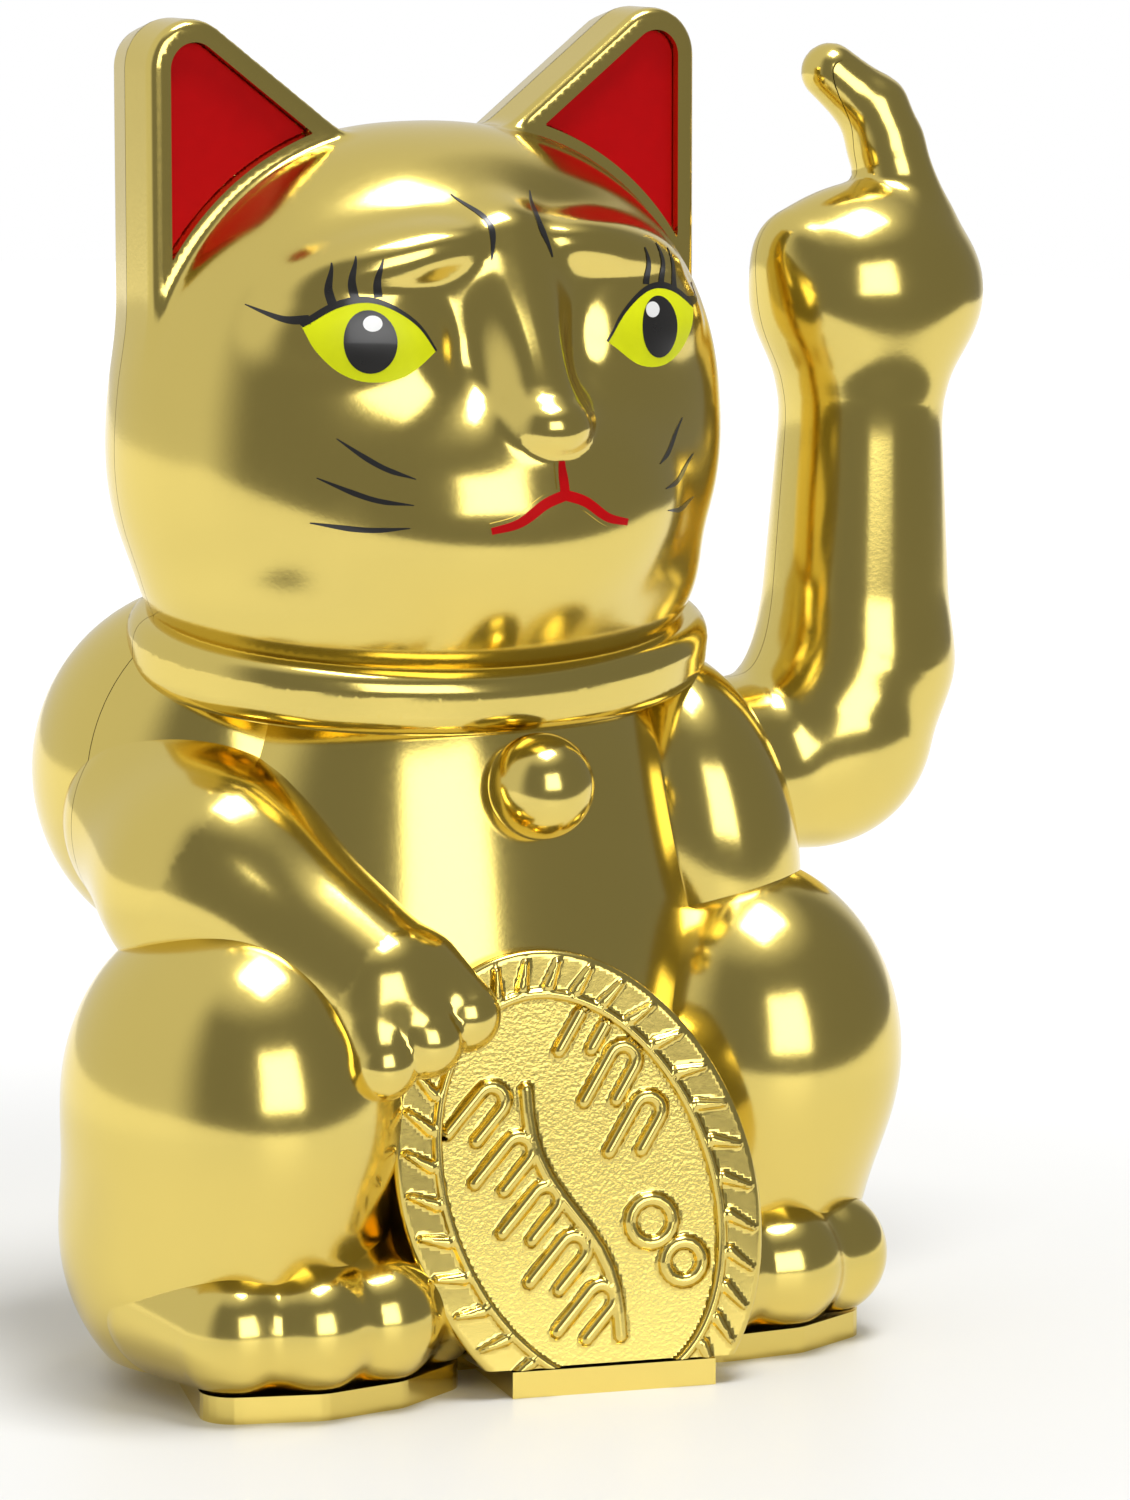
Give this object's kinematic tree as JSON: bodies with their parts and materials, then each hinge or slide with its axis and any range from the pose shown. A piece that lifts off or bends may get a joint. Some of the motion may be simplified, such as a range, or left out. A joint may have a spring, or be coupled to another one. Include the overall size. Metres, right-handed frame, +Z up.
{
  "type": "waving cat figurine",
  "caption": "Seated lucky cat with a coin and one raised fist with a pointing finger, on a hollow two-part body; a battery-driven pendulum inside swings the raised arm.",
  "frame": {"origin": "underside of the base plate, in the cat's plane of symmetry and in the plane where the front and back body shells meet", "axes": "+Z up, +X towards the cat's left side where the raised arm is, -Y the way the cat faces"},
  "size_m": [0.1282, 0.0736, 0.1518],
  "materials": {
    "gold_plating": "vacuum-metallised gold over ABS, mirror gloss with a faint grain",
    "door_plastic": "gold plastic",
    "natural_plastic": "unpainted moulded plastic",
    "black_plastic": "black moulded plastic",
    "cell_jacket": "printed steel can",
    "spring_steel": "nickel-plated spring steel",
    "steel": "bright drawn steel",
    "zinc": "plain steel block",
    "magnet": "nickel-plated magnet",
    "bronze": "sintered bronze",
    "copper_wire": "enamelled copper wire",
    "board": "green solder mask",
    "red_wire": "red insulation",
    "black_wire": "black insulation"
  },
  "bodies": {
    "figure": {"front_shell": "gold_plating", "back_shell": "gold_plating", "base_plate": "gold_plating", "battery_cell": "cell_jacket", "contact_spring": "spring_steel", "contact_plate": "spring_steel", "switch_body": "black_plastic", "movement_frame": "natural_plastic", "bearing_bushes": "bronze", "coil_bobbin": "natural_plastic", "coil_winding": "copper_wire", "circuit_board": "board", "board_components": "black_plastic", "frame_screws": "steel", "base_screws": "steel", "lead_red": "red_wire", "lead_black": "black_wire"},
    "waving_arm": {"arm_front_shell": "gold_plating", "arm_back_shell": "gold_plating", "arm_hub": "natural_plastic", "arm_screw": "steel", "axle": "steel", "axle_clip": "spring_steel", "pendulum_lever": "natural_plastic", "counterweight": "zinc", "drive_magnet": "magnet"},
    "door": {"battery_door": "door_plastic"},
    "slider": {"switch_slider": "black_plastic"}
  },
  "joints": [
    {"name": "arm_wave", "type": "hinge", "parent": "figure", "child": "waving_arm", "pos_m": [0.04, 0, 0.062], "axis": [1, 0, 0], "range_deg": [-42, 32]},
    {"name": "battery_door_hinge", "type": "hinge", "parent": "figure", "child": "door", "pos_m": [0, -0.019, 0.0012], "axis": [-1, 0, 0], "range_deg": [0, 95]},
    {"name": "power_switch", "type": "slide", "parent": "figure", "child": "slider", "axis": [1, 0, 0], "range_m": [0, 0.0025]}
  ]
}
